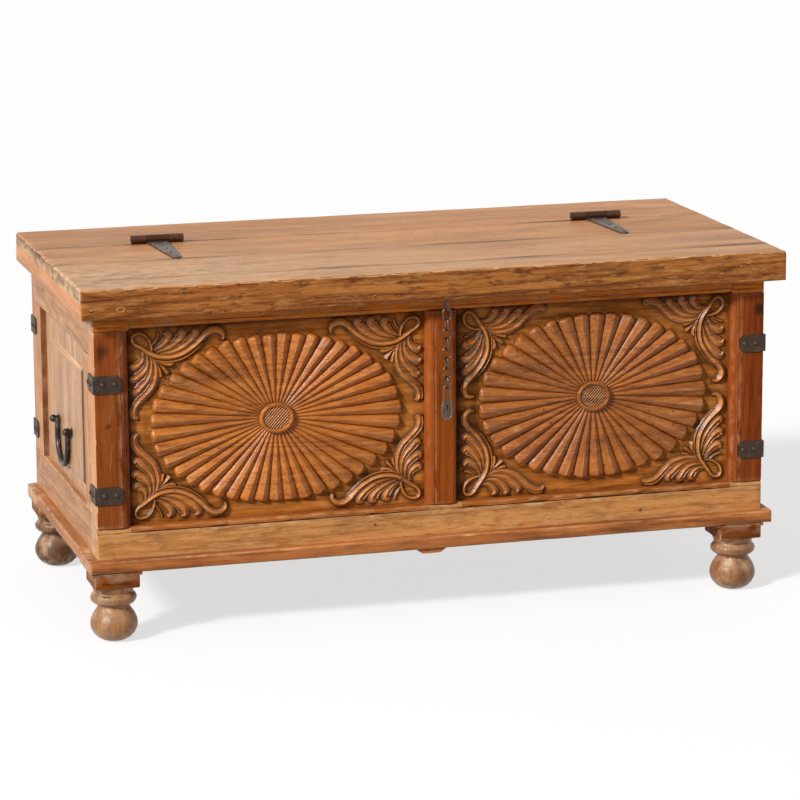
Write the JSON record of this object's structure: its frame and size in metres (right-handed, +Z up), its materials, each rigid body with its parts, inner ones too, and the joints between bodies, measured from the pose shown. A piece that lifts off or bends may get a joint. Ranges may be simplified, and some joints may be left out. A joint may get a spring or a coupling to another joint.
{
  "type": "carved trunk",
  "caption": "Carved wooden storage trunk with reeded sunburst panels, hinged plank lid, side bail handles, corner irons, chain hasp and turned ball feet.",
  "frame": {"origin": "on the floor, under the middle of the outline seen from above", "axes": "+X along the trunk's length to the right seen from the carved front, -Y towards the carved front, +Z up"},
  "size_m": [1.2, 0.589, 0.6068],
  "materials": {
    "lid_wood": "weathered, dry planks with greyish streaks",
    "lip_wood": "smooth, waxed",
    "fascia_wood": "rough sawn, worn edges",
    "rail_wood": "waxed, golden brown",
    "post_wood": "waxed, reddish brown",
    "carved_wood": "carved and waxed, satin",
    "side_wood": "waxed",
    "side_panel_wood": "waxed",
    "inner_wood": "plain, oiled",
    "plinth_wood": "waxed, with dark knots",
    "foot_wood": "turned and waxed",
    "strap_iron": "forged, worn grey",
    "handle_iron": "forged, blackened",
    "chain_iron": "forged, dark brown grey"
  },
  "bodies": {
    "carcass": {"front_top_rail": "rail_wood", "front_bottom_rail": "rail_wood", "front_middle_stile": "rail_wood", "front_left_post": "post_wood", "front_right_post": "post_wood", "back_left_post": "post_wood", "back_right_post": "post_wood", "front_left_panel": "carved_wood", "front_right_panel": "carved_wood", "left_top_rail": "side_wood", "left_bottom_rail": "side_wood", "right_top_rail": "side_wood", "right_bottom_rail": "side_wood", "left_panel": "side_panel_wood", "right_panel": "side_panel_wood", "back_top_rail": "inner_wood", "back_bottom_rail": "inner_wood", "back_middle_stile": "inner_wood", "back_left_panel": "inner_wood", "back_right_panel": "inner_wood", "floor_boards": "inner_wood", "plinth_front": "plinth_wood", "plinth_back": "plinth_wood", "plinth_left": "plinth_wood", "plinth_right": "plinth_wood", "center_bearer": "plinth_wood", "front_left_foot": "foot_wood", "front_right_foot": "foot_wood", "back_left_foot": "foot_wood", "back_right_foot": "foot_wood", "rear_top_board": "lid_wood", "rear_top_lips": "lip_wood", "left_hinge_leaf": "strap_iron", "right_hinge_leaf": "strap_iron", "hinge_pins": "strap_iron", "corner_irons": "strap_iron", "corner_iron_nails": "strap_iron", "handle_posts": "handle_iron"},
    "lid": {"lid_front_board": "lid_wood", "lid_middle_board": "lid_wood", "lid_back_board": "lid_wood", "lid_fascia": "fascia_wood", "lid_left_lip": "lip_wood", "lid_right_lip": "lip_wood", "lid_battens": "inner_wood", "left_hinge_strap": "strap_iron", "right_hinge_strap": "strap_iron", "hinge_nails": "strap_iron", "chain_staple": "chain_iron"},
    "left_handle": {"left_bail": "handle_iron"},
    "right_handle": {"right_bail": "handle_iron"},
    "link_1": {"chain_link_1": "chain_iron"},
    "link_2": {"chain_link_2": "chain_iron"},
    "link_3": {"chain_link_3": "chain_iron"},
    "link_4": {"chain_link_4": "chain_iron"},
    "link_5": {"chain_link_5": "chain_iron"},
    "link_6": {"chain_link_6": "chain_iron"},
    "link_7": {"chain_link_7": "chain_iron"},
    "link_8": {"chain_link_8": "chain_iron"},
    "hasp": {"hasp": "chain_iron"}
  },
  "joints": [
    {"name": "lid_hinge", "type": "hinge", "parent": "carcass", "child": "lid", "pos_m": [0.005, 0.1015, 0.5998], "axis": [-1, 0, 0], "range_deg": [0, 110]},
    {"name": "left_handle_swing", "type": "hinge", "parent": "carcass", "child": "left_handle", "pos_m": [-0.5742, 0.0275, 0.303], "axis": [0, 1, 0], "range_deg": [0, 175]},
    {"name": "right_handle_swing", "type": "hinge", "parent": "carcass", "child": "right_handle", "pos_m": [0.5742, 0.0275, 0.303], "axis": [0, -1, 0], "range_deg": [0, 175]},
    {"name": "link_1_swing", "type": "hinge", "parent": "lid", "child": "link_1", "pos_m": [0.01, -0.2805, 0.5261], "axis": [1, 0, 0], "range_deg": [0, 90]},
    {"name": "link_2_swing", "type": "hinge", "parent": "link_1", "child": "link_2", "pos_m": [0.01, -0.2805, 0.5061], "axis": [-1, 0, 0], "range_deg": [0, 30]},
    {"name": "link_3_swing", "type": "hinge", "parent": "link_2", "child": "link_3", "pos_m": [0.01, -0.2805, 0.4899], "axis": [0, 1, 0], "range_deg": [-25, 25]},
    {"name": "link_4_swing", "type": "hinge", "parent": "link_3", "child": "link_4", "pos_m": [0.01, -0.2805, 0.4737], "axis": [-1, 0, 0], "range_deg": [0, 30]},
    {"name": "link_5_swing", "type": "hinge", "parent": "link_4", "child": "link_5", "pos_m": [0.01, -0.2805, 0.4575], "axis": [0, 1, 0], "range_deg": [-25, 25]},
    {"name": "link_6_swing", "type": "hinge", "parent": "link_5", "child": "link_6", "pos_m": [0.01, -0.2805, 0.4413], "axis": [-1, 0, 0], "range_deg": [0, 30]},
    {"name": "link_7_swing", "type": "hinge", "parent": "link_6", "child": "link_7", "pos_m": [0.01, -0.2805, 0.4251], "axis": [0, 1, 0], "range_deg": [-25, 25]},
    {"name": "link_8_swing", "type": "hinge", "parent": "link_7", "child": "link_8", "pos_m": [0.01, -0.2805, 0.4089], "axis": [-1, 0, 0], "range_deg": [0, 30]},
    {"name": "hasp_swing", "type": "hinge", "parent": "link_8", "child": "hasp", "pos_m": [0.01, -0.2805, 0.3927], "axis": [0, 1, 0], "range_deg": [-25, 25]}
  ],
  "couplings": [
    {"joint": "link_1_swing", "follows": "lid_hinge", "ratio": 0.8181}
  ]
}
